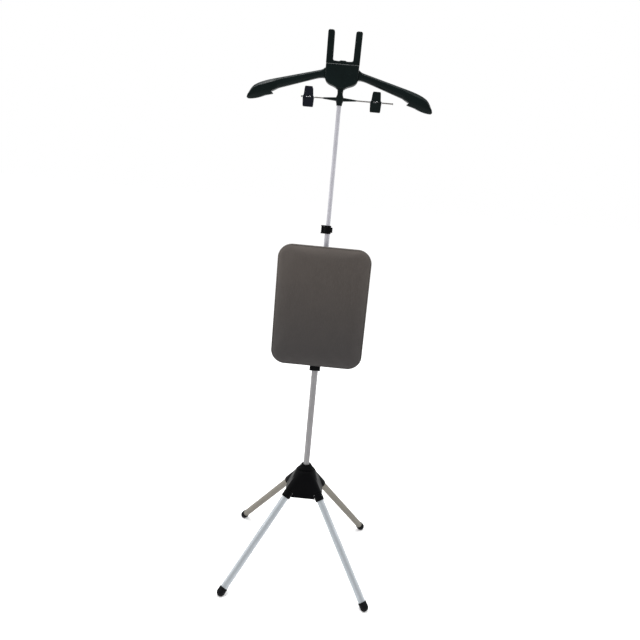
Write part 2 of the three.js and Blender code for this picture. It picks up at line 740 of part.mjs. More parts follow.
// One arm; side is -1 for the left and 1 for the right.
function arm(side) {
  const { root, tip, depth } = ARM;
  const blade = slab(outline([
    [root, 1334.6],
    [42, 1330.1, 52, 1327.9],
    [165, 1298.6],
    [197, 1290.1, 210, 1280.1],
    [221, 1269.8, tip, 1251.5],
    [tip, 1249, tip - 4, 1249],
    [202, 1249.7, 182, 1259.6],
    [163, 1264.3],
    [162, 1266.2],
    [168.5, 1269.3],
    [150, 1278.9],
    [62, 1307.4],
    [50, 1311.2, root, 1311],
  ]), -depth, depth);
  const tongue = layer(TONGUE.depth, TONGUE.low, TONGUE.high)
    .intersect(block([TONGUE.inner, -BIG, 0], [root + 3, BIG, BIG * 4]));
  const placed = join(blade, tongue);
  const turnedRound = side < 0 ? placed.rotate([0, 0, 180]) : placed;
  const screws = HEAD.screws.slice(0, 2);
  return cut(turnedRound, ...drilled(screws, SCREW.hole, -HEAD.depth, HEAD.depth));
}

// The neck joins the head to the upper tube: a spigot inside the tube, a collar outside it, and
// two tapered sleeves that hold the clip rod.
function neck() {
  const tube = POLE.upper;
  const spigot = tube.radius - tube.wall - RUN;
  const socket = tube.radius + RUN;
  const mouth = tube.top + GAP;
  const column = turned([
    [0, NECK.spigotBottom],
    [spigot, NECK.spigotBottom],
    [spigot, mouth],
    [socket, mouth],
    [socket, NECK.bottom],
    [6.6, NECK.bottom],
    [7.2, 1254],
    [9.6, 1263.5],
    [10, 1265.5],
    [9.4, 1268.5],
    [7, 1275.5],
    [6.6, 1279.5],
    [NECK.collarRadius, 1285],
    [NECK.collarRadius, 1289],
    [0, 1289],
  ]);
  const root = layer(NECK.collarRadius - 0.2, NECK.rootBottom, NECK.top, NECK.collarRadius);
  const { end, endRadius, middle, radius } = SLEEVE;
  const sleeves = turned([
    [0, -end],
    [endRadius, -end],
    [radius, -middle],
    [radius, middle],
    [endRadius, end],
    [0, end],
  ]);
  const rodBore = alongX(rod(ROD.radius + 0.1, -end - 1, end + 1));
  const body = join(column, root, moved(alongX(sleeves), 0, 0, ROD.height));
  const tubeSlot = ring(spigot, socket, NECK.bottom - 1, mouth);
  const [screwHole] = drilled(HEAD.screws.slice(2), SCREW.hole, -HEAD.depth, HEAD.depth);
  return cut(body, tubeSlot, moved(rodBore, 0, 0, ROD.height), screwHole);
}

function clipRod() {
  const { radius, left, right, lip } = ROD;
  return moved(alongX(turned([
    [0, left],
    [radius + lip, left],
    [radius + lip, left + 1],
    [radius, left + 1.4],
    [radius, right - 1.4],
    [radius + lip, right - 1],
    [radius + lip, right],
    [0, right],
  ], ROUND / 2)), 0, 0, ROD.height);
}

function addHead(parent) {
  const { front, rear } = headShells();
  piece(parent, 'head_front_shell', front, GREEN_BLACK_PLASTIC);
  piece(parent, 'head_rear_shell', rear, GREEN_BLACK_PLASTIC);
  piece(parent, 'steam_head_fork', fork(), GREEN_BLACK_PLASTIC);
  piece(parent, 'arm_left', arm(-1), GREEN_BLACK_PLASTIC);
  piece(parent, 'arm_right', arm(1), GREEN_BLACK_PLASTIC);
  piece(parent, 'neck', neck(), BLACK_PLASTIC);
  piece(parent, 'clip_rod', clipRod(), STEEL);
  const seat = HEAD.depth - HEAD.wall + 0.4;
  HEAD.screws.forEach(([x, z], i) => {
    piece(parent, `head_screw_${i + 1}`, moved(screw(seat, 0.9 - seat + 0.4), x, 0, z), STEEL);
  });
}

// ---------------------------------------------------------------- trouser clips
// A jaw in the clip's own frame: origin on the rod, the jaw on the -Y side. ringX is the distance
// of its two hinge rings from the middle.
function jaw(ringX) {
  const { handleTop, jawBottom, ringRadius, ringHalf, barrelRadius, barrelHalf } = CLIP;
  const profile = outline([
    [-10.2, handleTop],
    [-6.9, 2],
    [-6.9, -3],
    [-3.6, jawBottom + 2],
    [-3.2, jawBottom],
    [-0.35, jawBottom],
    [-0.35, jawBottom + 3.5],
    [-2, jawBottom + 4.8],
    [-4.7, -2.5],
    [-4.7, 2],
    [-8.1, handleTop],
  ]);
  const front = evenOutline([
    [10, jawBottom],
    [12.8, jawBottom, 12.8, jawBottom + 3],
    [13.6, 0],
    [11.4, 4],
    [10, handleTop - 5],
    [9.6, handleTop - 1, 8, handleTop],
  ]);
  const window = block(
    [-CLIP.windowHalf, -BIG, -CLIP.windowHeight / 2],
    [CLIP.windowHalf, 0, CLIP.windowHeight / 2],
  );
  const blank = sideSlab(profile, -barrelHalf, barrelHalf).intersect(slab(front, -BIG, 0));
  const rings = [-ringX, ringX].flatMap((x) => [
    moved(alongX(rod(ringRadius, -ringHalf, ringHalf)), x, 0, 0),
    block([x - ringHalf, -6, -3], [x + ringHalf, -1, 3]),
  ]);
  const bore = alongX(rod(barrelRadius + RUN, -barrelHalf - 1, barrelHalf + 1));
  return cut(join(cut(blank, window), ...rings), bore);
}

// A torsion spring round the barrel, with one leg towards each handle.
function clipSpring() {
  const { coil, wire, turns, half, legHeight } = SPRING;
  const points = [new THREE.Vector3(-half, -1.2, legHeight)];
  const steps = turns * 8;
  for (let i = 0; i <= steps; i += 1) {
    const angle = Math.PI + (i / steps) * turns * Math.PI * 2;
    const x = -half + (2 * half * i) / steps;
    points.push(new THREE.Vector3(x, coil * Math.cos(angle), -coil * Math.sin(angle)));
  }
  points.push(new THREE.Vector3(half, 3.9, legHeight));
  const section = new THREE.Shape().absarc(0, 0, wire, 0, Math.PI * 2);
  const extrudePath = new THREE.CatmullRomCurve3(points);
  const options = { steps: Math.round(steps * 1.3), extrudePath, curveSegments: 3, bevelEnabled: false };
  return solid(new THREE.ExtrudeGeometry(section, options));
}

function addClip(parent, name, x) {
  const clip = new THREE.Group();
  clip.position.set(x, 0, ROD.height);
  parent.add(clip);
  const { barrelRadius, barrelHalf } = CLIP;
  const barrel = alongX(ring(ROD.radius + RUN, barrelRadius, -barrelHalf, barrelHalf));
  piece(clip, `clip_barrel_${name}`, barrel, STEEL);
  piece(clip, `clip_front_jaw_${name}`, jaw(CLIP.frontRings), BLACK_PLASTIC);
  const rear = jaw(CLIP.rearRings).rotate([0, 0, 180]);
  piece(clip, `clip_rear_jaw_${name}`, rear, BLACK_PLASTIC);
  piece(clip, `clip_spring_${name}`, clipSpring(), STEEL);
}

// ---------------------------------------------------------------- the whole stand
const stand = new THREE.Group();
addBase(stand);
addPole(stand);
addBoard(stand);
addHead(stand);
for (const [name, x] of Object.entries(CLIP.centres)) addClip(stand, name, x);

export default stand;
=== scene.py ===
"""Looks for the stand of a garment steamer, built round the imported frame.

Metres, +Z up. The origin is on the floor under the pole's axis, the front faces -Y, and the
hanger's arms lie along X. Shapes are written in millimetres and scaled by MM.
"""

import json
import math

import bmesh
import bpy
import numpy as np
from mathutils import Matrix, Vector, noise

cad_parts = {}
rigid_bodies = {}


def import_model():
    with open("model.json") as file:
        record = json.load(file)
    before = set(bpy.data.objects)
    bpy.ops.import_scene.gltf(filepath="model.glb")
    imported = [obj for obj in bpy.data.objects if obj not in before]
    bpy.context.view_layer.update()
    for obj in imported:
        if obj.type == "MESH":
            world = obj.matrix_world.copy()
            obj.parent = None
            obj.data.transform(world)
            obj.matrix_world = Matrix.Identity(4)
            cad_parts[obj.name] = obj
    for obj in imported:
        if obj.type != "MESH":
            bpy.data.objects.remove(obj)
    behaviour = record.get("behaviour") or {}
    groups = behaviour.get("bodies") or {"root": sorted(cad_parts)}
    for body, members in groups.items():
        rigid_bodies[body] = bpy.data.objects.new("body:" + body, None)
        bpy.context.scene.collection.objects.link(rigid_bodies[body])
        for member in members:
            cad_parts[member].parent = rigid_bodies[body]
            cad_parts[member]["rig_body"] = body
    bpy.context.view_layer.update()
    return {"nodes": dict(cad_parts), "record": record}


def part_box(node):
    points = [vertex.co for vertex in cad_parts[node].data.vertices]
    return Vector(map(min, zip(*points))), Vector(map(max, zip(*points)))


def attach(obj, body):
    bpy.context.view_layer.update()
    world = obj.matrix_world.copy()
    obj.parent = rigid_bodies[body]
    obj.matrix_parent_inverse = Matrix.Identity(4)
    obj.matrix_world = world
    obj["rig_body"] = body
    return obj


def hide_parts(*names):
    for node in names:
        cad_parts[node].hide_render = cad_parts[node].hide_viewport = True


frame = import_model()
nodes = frame["nodes"]

MM = 0.001
SCENE = bpy.context.scene
SLOT = {part["node"]: part["material_slot"] for part in frame["record"]["subparts"]}

# The azimuth of each leg in degrees, and each clip's place along its rod in millimetres.
LEGS = {"front_right": -45, "rear_right": 45, "rear_left": 135, "front_left": -135}
CLIPS = {"left": -76, "right": 88}
ROD_HEIGHT = 1265


def linked(name, data):
    """A new object in the scene."""
    obj = bpy.data.objects.new(name, data)
    SCENE.collection.objects.link(obj)
    return obj


# ------------------------------------------------------------------ camera, floor and light
CAMERA_PLACE = (0.03434, -1.52717, 1.06663)
CAMERA_LENS, CAMERA_SENSOR = 33.49, 36
PITCH, YAW, ROLL = (math.radians(angle) for angle in (13.0, -1.2326, 5.2364))

FLOOR_SIZE = 60
FLOOR_LOOK = {
    "Base Color": (0.97, 0.97, 0.97, 1),
    "Roughness": 0.95,
    "Specular IOR Level": 0.1,
    "Emission Color": (1, 1, 1, 1),
    "Emission Strength": 0.1,
}

# Along each axis of a direction: where the dim room ends, and where the white cove is full.
COVE = {"Y": (-0.5, 0.3), "Z": (0.15, 0.95)}
ROOM_LEVEL, COVE_LEVEL = 0.8, 1.0

# For each light: its place, the place it faces, its two sides in metres, and its power in watts.
LIGHTS = {
    "key": ((-2.3, 0.1, 1.5), (0, 0, 0.7), (0.45, 1.8), 16),
    "fill": ((2.3, 0.2, 1.3), (0, 0, 0.7), (0.45, 1.8), 12),
    "top": ((-0.35, -0.1, 2.6), (-0.35, -0.1, 1.0), (1.5, 0.5), 50),
}


def add_camera():
    """The view has a pitch below the horizon, a yaw about Z, and a roll about its own axis."""
    level = math.cos(PITCH)
    forward = Vector((math.sin(YAW) * level, math.cos(YAW) * level, -math.sin(PITCH)))
    right = Vector((math.cos(YAW), -math.sin(YAW), 0))
    up = right.cross(forward)
    rolled_right = math.cos(ROLL) * right + math.sin(ROLL) * up
    rolled_up = -math.sin(ROLL) * right + math.cos(ROLL) * up
    turn = Matrix((rolled_right, rolled_up, -forward)).transposed().to_4x4()
    data = bpy.data.cameras.new("camera")
    data.lens, data.sensor_width = CAMERA_LENS, CAMERA_SENSOR
    camera = linked("camera", data)
    camera.matrix_world = Matrix.Translation(CAMERA_PLACE) @ turn
    SCENE.camera = camera


def add_floor():
    bpy.ops.mesh.primitive_plane_add(size=FLOOR_SIZE, location=(0, 0, 0))
    floor = bpy.context.object
    floor.name = "studio_floor"
    surface = bpy.data.materials.new("studio_floor")
    surface.use_nodes = True
    shader = surface.node_tree.nodes["Principled BSDF"]
    for socket, value in FLOOR_LOOK.items():
        shader.inputs[socket].default_value = value
    floor.data.materials.append(surface)


def add_world():
    """A white cove behind and overhead, and a dimmer room in front."""
    world = bpy.data.worlds.new("studio")
    world.use_nodes = True
    tree = world.node_tree
    parts = tree.nodes.new("ShaderNodeSeparateXYZ")
    direction = tree.nodes.new("ShaderNodeTexCoord").outputs["Generated"]
    tree.links.new(direction, parts.inputs[0])
    levels = []
    for axis, (start, end) in COVE.items():
        ranged = tree.nodes.new("ShaderNodeMapRange")
        ranged.interpolation_type = "SMOOTHSTEP"
        tree.links.new(parts.outputs[axis], ranged.inputs["Value"])
        ranged.inputs["From Min"].default_value = start
        ranged.inputs["From Max"].default_value = end
        ranged.inputs["To Min"].default_value = ROOM_LEVEL
        ranged.inputs["To Max"].default_value = COVE_LEVEL
        levels.append(ranged.outputs["Result"])
    brighter = tree.nodes.new("ShaderNodeMath")
    brighter.operation = "MAXIMUM"
    for socket, level in zip(brighter.inputs, levels):
        tree.links.new(level, socket)
    background = tree.nodes["Background"]
    tree.links.new(brighter.outputs[0], background.inputs["Strength"])
    background.inputs["Color"].default_value = (1, 1, 1, 1)
    SCENE.world = world
    SCENE.view_settings.view_transform = "Standard"


def add_light(name, place, target, sides, power):
    data = bpy.data.lights.new(name, "AREA")
    data.shape = "RECTANGLE"
    data.size, data.size_y = sides
    data.energy = power
    light = linked(name, data)
    light.location = place
    light.rotation_mode = "QUATERNION"
    light.rotation_quaternion = (Vector(target) - Vector(place)).to_track_quat("-Z", "Y")


add_camera()
add_floor()
add_world()
for name, settings in LIGHTS.items():
    add_light(name, *settings)


# ------------------------------------------------------------------ materials
class Finish:
    """A material's node tree with short calls for its nodes. Scales are cells per metre."""

    def __init__(self, name, colour, roughness, metallic=0.0, **uniform):
        self.material = bpy.data.materials.new(name)
        self.material.use_nodes = True
        self.tree = self.material.node_tree
        self.shader = self.tree.nodes["Principled BSDF"]
        self.set("Base Color", (*colour, 1))
        self.set("Roughness", roughness)
        self.set("Metallic", metallic)
        for socket, value in uniform.items():
            self.set(socket.replace("_", " "), value)
        coordinates = self.tree.nodes.new("ShaderNodeTexCoord")
        self.place = coordinates.outputs["Object"]
        self.unwrapped = coordinates.outputs["UV"]

    def set(self, socket, value):
        self.shader.inputs[socket].default_value = value

    def end(self, socket, source):
        self.tree.links.new(source, self.shader.inputs[socket])

    def _feed(self, socket, value):
        if isinstance(value, bpy.types.NodeSocket):
            self.tree.links.new(value, socket)
        elif value is not None:
            socket.default_value = value

    def math(self, operation, a, b=None, c=None):
        node = self.tree.nodes.new("ShaderNodeMath")
        node.operation = operation
        for socket, value in zip(node.inputs, (a, b, c)):
            self._feed(socket, value)
        return node.outputs[0]

    def stretched(self, scale, source=None):
        node = self.tree.nodes.new("ShaderNodeMapping")
        self.tree.links.new(source or self.place, node.inputs["Vector"])
        node.inputs["Scale"].default_value = scale
        return node.outputs[0]

    def noise(self, scale, detail=3.0, rough=0.55, source=None):
        node = self.tree.nodes.new("ShaderNodeTexNoise")
        self.tree.links.new(source or self.place, node.inputs["Vector"])
        node.inputs["Scale"].default_value = scale
        node.inputs["Detail"].default_value = detail
        node.inputs["Roughness"].default_value = rough
        return node.outputs["Fac"]

    def ranged(self, value, low, high, to_low, to_high, smooth=False):
        node = self.tree.nodes.new("ShaderNodeMapRange")
        node.interpolation_type = "SMOOTHSTEP" if smooth else "LINEAR"
        for name, number in zip(
            ("Value", "From Min", "From Max", "To Min", "To Max"),
            (value, low, high, to_low, to_high),
        ):
            self._feed(node.inputs[name], number)
        return node.outputs["Result"]

    def mixed(self, share, first, second):
        node = self.tree.nodes.new("ShaderNodeMix")
        node.data_type = "RGBA"
        self._feed(node.inputs["Factor"], share)
        for name, colour in (("A", first), ("B", second)):
            socket = next(s for s in node.inputs if s.name == name and s.type == "RGBA")
            joined = isinstance(colour, bpy.types.NodeSocket)
            self._feed(socket, colour if joined else (*colour, 1))
        return next(s for s in node.outputs if s.type == "RGBA")

    def axis(self, name):
        node = self.tree.nodes.new("ShaderNodeSeparateXYZ")
        self.tree.links.new(self.place, node.inputs[0])
        return node.outputs[name]

    def bump(self, height, strength, distance, before=None):
        node = self.tree.nodes.new("ShaderNodeBump")
        node.inputs["Strength"].default_value = strength
        node.inputs["Distance"].default_value = distance
        self.tree.links.new(height, node.inputs["Height"])
        if before is not None:
            self.tree.links.new(before, node.inputs["Normal"])
        self.tree.links.new(node.outputs[0], self.shader.inputs["Normal"])
        return node.outputs[0]


def scaled(colour, factor):
    return tuple(c * factor for c in colour)


def moulded_plastic(name, colour, worn, roughness=0.33, specular=0.09):
    """Spark-eroded texture, faint flow marks and hairline scuffs."""
    f = Finish(name, colour, roughness, Specular_IOR_Level=specular)
    flow = f.noise(14, 4)
    scuffs = f.noise(70, 6, 0.7, f.stretched((1, 1, 3.5)))
    marks = f.ranged(scuffs, 0.6, 0.78, 0, 1, smooth=True)
    shade = f.mixed(f.ranged(flow, 0.3, 0.7, 0, 1), scaled(colour, 0.8), scaled(colour, 1.25))
    f.end("Base Color", f.mixed(f.math("MULTIPLY", marks, 0.35), shade, worn))
    rough = f.ranged(flow, 0.3, 0.7, roughness - 0.07, roughness + 0.07)
    f.end("Roughness", f.math("MULTIPLY_ADD", marks, 0.16, rough))
    grain = f.bump(f.noise(1500, 2, 0.5), strength=0.22, distance=0.00012)
    f.bump(f.noise(90, 2), strength=0.05, distance=0.0006, before=grain)
    return f.material


def drawn_aluminium(name, colour, dull, metallic=0.25, roughness=0.4, specular=0.08):
    """Fine drawing lines along the tube, with cloudy oxide and handling marks. It reads the UVs
    of a tube, which are in metres round it and along it."""
    f = Finish(name, colour, roughness, metallic, Specular_IOR_Level=specular)
    lines = f.noise(1.0, 4, 0.6, f.stretched((5200, 22, 1), f.unwrapped))
    cloud = f.noise(1.0, 5, 0.6, f.stretched((38, 16, 1), f.unwrapped))
    rubs = f.noise(1.0, 3, 0.6, f.stretched((900, 7, 1), f.unwrapped))
    worn = f.ranged(rubs, 0.58, 0.72, 0, 1, smooth=True)
    base = f.mixed(f.ranged(cloud, 0.32, 0.7, 0, 0.7), colour, dull)
    base = f.mixed(f.ranged(lines, 0.42, 0.72, 0, 0.4), base, scaled(colour, 0.62))
    f.end("Base Color", f.mixed(f.math("MULTIPLY", worn, 0.35), base, scaled(colour, 0.72)))
    rough = f.ranged(cloud, 0.3, 0.7, roughness - 0.05, roughness + 0.1)
    f.end("Roughness", f.math("MULTIPLY_ADD", lines, 0.12, rough))
    f.bump(lines, strength=0.35, distance=0.0001)
    return f.material


def plated_steel(name, colour, roughness=0.3):
    """Bright plating with a fine spangle."""
    f = Finish(name, colour, roughness, metallic=1.0)
    spangle = f.noise(420, 4, 0.65)
    shade = f.mixed(f.ranged(spangle, 0.35, 0.7, 0, 1), colour, scaled(colour, 0.66))
    f.end("Base Color", shade)
    f.end("Roughness", f.ranged(spangle, 0.3, 0.7, roughness - 0.08, roughness + 0.16))
    f.bump(f.noise(1300, 2), strength=0.1, distance=0.00005)
    return f.material


def foot_rubber(name, colour, dusty):
    """Matt rubber with floor dust on its lowest part."""
    f = Finish(name, colour, 0.62, Specular_IOR_Level=0.08)
    speck = f.noise(260, 5, 0.7)
    near_floor = f.ranged(f.axis("Z"), 0.0, 0.016, 1.0, 0.0, smooth=True)
    dust = f.math("MULTIPLY", near_floor, f.ranged(speck, 0.4, 0.75, 0, 0.4))
    f.end("Base Color", f.mixed(dust, colour, dusty))
    f.end("Roughness", f.ranged(speck, 0.3, 0.7, 0.52, 0.72))
    f.bump(f.noise(1100, 3), strength=0.25, distance=0.00012)
    return f.material


def woven_cover(name, warp, weft, painted_shade_colour):
    """Plain weave of two close threads, with slubs, a slow fading of the dye, and painted
    shade that darkens the cover towards its bottom."""
    f = Finish(name, warp, 0.92, Specular_IOR_Level=0.12, Sheen_Weight=0.14, Sheen_Roughness=0.6)
    f.set("Sheen Tint", (0.75, 0.72, 0.68, 1))
    pitch = 0.0009
    depth = f.axis("Y")
    turns = [f.math("DIVIDE", f.math("ADD", f.axis(a), depth), pitch) for a in ("X", "Z")]
    waves = [f.math("SINE", f.math("MULTIPLY", t, math.pi)) for t in turns]
    crests = [f.math("ABSOLUTE", w) for w in waves]
    over = f.ranged(f.math("MULTIPLY", *waves), -0.3, 0.3, 0, 1, smooth=True)
    hidden = f.math("SUBTRACT", 1.0, over)
    threads = f.math(
        "ADD", f.math("MULTIPLY", crests[0], over), f.math("MULTIPLY", crests[1], hidden)
    )
    slubs = f.noise(1.0, 3, 0.6, f.stretched((900, 900, 90)))
    cloth = f.mixed(over, warp, weft)
    cloth = f.mixed(f.ranged(slubs, 0.45, 0.75, 0, 0.45), cloth, scaled(weft, 1.5))
    fading = f.ranged(f.noise(9, 4, 0.6), 0.35, 0.68, 0, 0.55, smooth=True)
    cloth = f.mixed(fading, cloth, scaled(warp, 1.35))
    # painted shade: the cover's colour darkens towards its lower part, where less light falls
    painted_shade_share = f.ranged(f.axis("Z"), 0.6, 0.88, 0.6, 0.05, smooth=True)
    f.end("Base Color", f.mixed(painted_shade_share, cloth, painted_shade_colour))
    f.end("Roughness", f.ranged(threads, 0, 1, 0.97, 0.84))
    weave = f.bump(threads, strength=0.5, distance=0.00022)
    f.bump(f.noise(55, 4), strength=0.12, distance=0.0012, before=weave)
    return f.material


def open_foam(name, colour):
    f = Finish(name, colour, 0.95)
    cells = f.noise(900, 2)
    f.end("Base Color", f.mixed(f.ranged(cells, 0.35, 0.6, 0, 1), scaled(colour, 0.55), colour))
    f.bump(cells, strength=0.5, distance=0.0004)
    return f.material


# For each finish: its maker, then the colours and values that the maker takes after the name.
RECIPES = {
    "base_plastic": (moulded_plastic, (0.0014, 0.0015, 0.0018), (0.012, 0.012, 0.013), 0.44, 0.035),
    "head_plastic": (moulded_plastic, (0.0016, 0.0046, 0.0044), (0.016, 0.026, 0.025), 0.34, 0.08),
    "jaw_plastic": (moulded_plastic, (0.0036, 0.0045, 0.009), (0.02, 0.022, 0.032)),
    "tube_aluminium": (drawn_aluminium, (0.43, 0.425, 0.46), (0.35, 0.345, 0.375)),
    "lower_aluminium": (drawn_aluminium, (0.25, 0.245, 0.25), (0.2, 0.195, 0.2)),
    "leg_aluminium": (drawn_aluminium, (0.37, 0.395, 0.42), (0.31, 0.33, 0.35), 0.7, 0.34, 0.2),
    # painted shade and reflection: a darker, browner copy of the leg aluminium for the rear legs,
    # standing for the shade they are in and a brown reflection
    "rear_aluminium": (drawn_aluminium, (0.18, 0.168, 0.145), (0.135, 0.125, 0.108), 0.4, 0.36),
    "steel": (plated_steel, (0.55, 0.55, 0.56)),
    "rod_steel": (plated_steel, (0.2, 0.19, 0.18), 0.36),
    "rubber": (foot_rubber, (0.0018, 0.002, 0.003), (0.05, 0.048, 0.044)),
    "nylon": (moulded_plastic, (0.62, 0.61, 0.56), (0.5, 0.49, 0.44), 0.5),
    "cover_fabric": (
        woven_cover,
        (0.053, 0.045, 0.0405),
        (0.064, 0.055, 0.0495),
        # painted shade: the colour that the cover darkens to towards its bottom
        (0.021, 0.022, 0.025),
    ),
    "foam": (open_foam, (0.4, 0.38, 0.33)),
    "spring_steel": (plated_steel, (0.62, 0.62, 0.63), 0.22),
}
FINISHES = {name: maker(name, *values) for name, (maker, *values) in RECIPES.items()}

# The nodes whose finish isn't the one named after their slot.
LOOKS = {
    "lower_tube": "lower_aluminium",
    "leg_tube_front_left": "leg_aluminium",
    "leg_tube_front_right": "leg_aluminium",
    # painted shade and reflection: the rear legs take the darker, browner copy of the leg aluminium
    "leg_tube_rear_left": "rear_aluminium",
    "leg_tube_rear_right": "rear_aluminium",
    "clip_rod": "rod_steel",
    "clip_front_jaw_left": "jaw_plastic",
    "clip_rear_jaw_left": "jaw_plastic",
}


def dress(obj, node):
    """Gives an object the finish of a CAD node."""
    obj.data.materials.clear()
    obj.data.materials.append(FINISHES[LOOKS.get(node, SLOT[node])])


for node in SLOT:
    dress(nodes[node], node)


# ------------------------------------------------------------------ making pieces
SHARP_ANGLE = 35
UPRIGHT = Matrix.Identity(4)
ALONG_X = Matrix.Rotation(math.pi / 2, 4, "Y")
ALONG_Y = Matrix.Rotation(-math.pi / 2, 4, "X")
WELD = 1e-7


def finished(obj, name, stands_for, sharp=SHARP_ANGLE):
    """Names, shades and paints a piece, and ties it to the CAD nodes that it stands for."""
    obj.name = name
    obj.data.name = name
    obj.data.shade_smooth()
    if sharp:
        obj.data.set_sharp_from_angle(angle=math.radians(sharp))
    first = stands_for[0]
    dress(obj, first)
    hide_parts(*stands_for)
    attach(obj, nodes[first]["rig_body"])
    return obj


def evaluated_mesh(obj):
    graph = bpy.context.evaluated_depsgraph_get()
    return bpy.data.meshes.new_from_object(obj.evaluated_get(graph))


def applied(obj):
    """Writes an object's modifiers into its mesh."""
    mesh = evaluated_mesh(obj)
    obj.modifiers.clear()
    obj.data = mesh
    return obj


def remeshed(obj, voxel):
    """Adds even voxels, in millimetres."""
    remesh = obj.modifiers.new("even", "REMESH")
    remesh.mode = "VOXEL"
    remesh.voxel_size = voxel * MM


def softened(obj, passes):
    soft = obj.modifiers.new("soft", "SMOOTH")
    soft.factor, soft.iterations = 0.5, passes
    return soft


def mesh_object(name, vertices, faces, uvs=None, place=UPRIGHT):
    """A mesh object from vertices in millimetres and, if given, each face's UVs in metres."""
    mesh = bpy.data.meshes.new(name)
    mesh.from_pydata([MM * (place @ Vector(v)) for v in vertices], [], faces)
    if uvs:
        layer = mesh.uv_layers.new(name="surface")
        layer.data.foreach_set("uv", [c for face in uvs for uv in face for c in uv])
    obj = linked(name, mesh)
    welded = bmesh.new()
    welded.from_mesh(mesh)
    bmesh.ops.remove_doubles(welded, verts=welded.verts, dist=WELD)
    bmesh.ops.recalc_face_normals(welded, faces=welded.faces)
    welded.to_mesh(mesh)
    welded.free()
    return obj


def turned(profile, segments, radius_at=None):
    """Rings turned about Z from (radius, height) pairs. A radius of 0 closes an end, and
    radius_at(radius, height, angle) may give a ring another shape."""
    vertices, rings = [], []
    for radius, height in profile:
        start = len(vertices)
        if radius == 0:
            vertices.append((0, 0, height))
            rings.append([start])
            continue
        for i in range(segments):
            angle = math.tau * i / segments
            r = radius_at(radius, height, angle) if radius_at else radius
            vertices.append((r * math.cos(angle), r * math.sin(angle), height))
        rings.append(range(start, start + segments))
    faces, uvs = [], []
    run, girth = 0, max(r for r, _ in profile) * math.tau * MM
    for (low, high), (p, q) in zip(zip(rings, rings[1:]), zip(profile, profile[1:])):
        further = run + math.dist(p, q) * MM
        for i in range(segments):
            j = (i + 1) % segments
            left, right = girth * i / segments, girth * (i + 1) / segments
            corners = [
                (low[i % len(low)], left, run),
                (low[j % len(low)], right, run),
                (high[j % len(high)], right, further),
                (high[i % len(high)], left, further),
            ]
            kept = [c for k, c in enumerate(corners) if c[0] != corners[k - 1][0]]
            faces.append([c[0] for c in kept])
            uvs.append([c[1:] for c in kept])
        run = further
    return vertices, faces, uvs


def add_turned(node, ending, shape, place=UPRIGHT):
    """A turned shape in the place of a CAD node, named after it."""
    finished(mesh_object(node, *shape, place), node + ending, [node])


def at(x, y, z, laid=UPRIGHT):
    return Matrix.Translation((x, y, z)) @ laid


def tube_profile(radius, wall, bottom, top, lip=0.25):
    return [
        (radius - wall, bottom + lip),
        (radius - wall + lip, bottom),
        (radius - lip, bottom),
        (radius, bottom + lip),
        (radius, top - lip),
        (radius - lip, top),
        (radius - wall + lip, top),
        (radius - wall, top - lip),
        (radius - wall, bottom + lip),
    ]


def rod_profile(radius, bottom, top):
    chamfer = 0.4
    return [
        (0, bottom),
        (radius - chamfer, bottom),
        (radius, bottom + chamfer),
        (radius, top - chamfer),
        (radius - chamfer, top),
        (0, top),
    ]


def dome_profile(radius, rise, base, steps):
    """A quarter of an ellipse, from its widest ring to its closed top."""
    angles = [math.pi / 2 * i / steps for i in range(steps)]
    rings = [(radius * math.cos(a), base + rise * math.sin(a)) for a in angles]
    return rings + [(0, base + rise)]


# ------------------------------------------------------------------ legs and pole
# A leg runs from its pivot, given by its distance from the axis and its height, to the centre
# of its foot's dome.
PIVOT_REACH, PIVOT_HEIGHT = 30, 260
FOOT_REACH, FOOT_HEIGHT = 264, 9.5
LEG_RUN, LEG_DROP = FOOT_REACH - PIVOT_REACH, PIVOT_HEIGHT - FOOT_HEIGHT
LEG_LENGTH = math.hypot(LEG_RUN, LEG_DROP)
LEG_TILT = math.atan2(LEG_DROP, LEG_RUN)

TUBE_WALL = 0.9
LEG_TUBE_RADIUS, LEG_TUBE_START, LEG_TUBE_SHORT = 9.5, 42.3, 2.8
LEG_PIN_RADIUS, LEG_PIN_HALF = 2.4, 12.4
FOOT_RADIUS = 11


def leg_place(azimuth, laid=ALONG_X):
    """From a body turned about Z, laid along a leg or across it at its pivot, to its place."""
    return (
        Matrix.Rotation(math.radians(azimuth), 4, "Z")
        @ Matrix.Translation((PIVOT_REACH, 0, PIVOT_HEIGHT))
        @ Matrix.Rotation(LEG_TILT, 4, "Y")
        @ laid
    )


def add_tubes():
    for node in ("lower_tube", "middle_tube", "upper_tube"):
        low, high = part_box(node)
        radius = (high.x - low.x) / 2 / MM
        profile = tube_profile(radius, TUBE_WALL, low.z / MM, high.z / MM)
        add_turned(node, "_drawn", turned(profile, 96))
    profile = tube_profile(LEG_TUBE_RADIUS, TUBE_WALL, LEG_TUBE_START, LEG_LENGTH - LEG_TUBE_SHORT)
    for leg, azimuth in LEGS.items():
        add_turned("leg_tube_" + leg, "_drawn", turned(profile, 96), leg_place(azimuth))


def foot_profile():
    """Cap with a rolled rim, two shallow grip grooves and a domed tip."""
    start, bore, bore_end = LEG_LENGTH - 13, 9.7, LEG_LENGTH - 2.5
    profile = [(0, bore_end), (bore, bore_end), (bore, start), (10.5, start), (10.9, start + 0.5)]
    for below_rim in (3.2, 6.4):
        centre, floor = start + below_rim, 10.55
        profile += [(FOOT_RADIUS, centre - 0.7), (floor, centre - 0.3)]
        profile += [(floor, centre + 0.3), (FOOT_RADIUS, centre + 0.7)]
    return profile + dome_profile(FOOT_RADIUS, FOOT_RADIUS, LEG_LENGTH, 12)


def add_feet():
    """Each dome is worn flat where it stands on the floor."""
    for leg, azimuth in LEGS.items():
        node = "leg_foot_" + leg
        foot = mesh_object(node, *turned(foot_profile(), 64), leg_place(azimuth))
        for vertex in foot.data.vertices:
            vertex.co.z = max(vertex.co.z, 0)
        finished(foot, node + "_cap", [node], sharp=50)


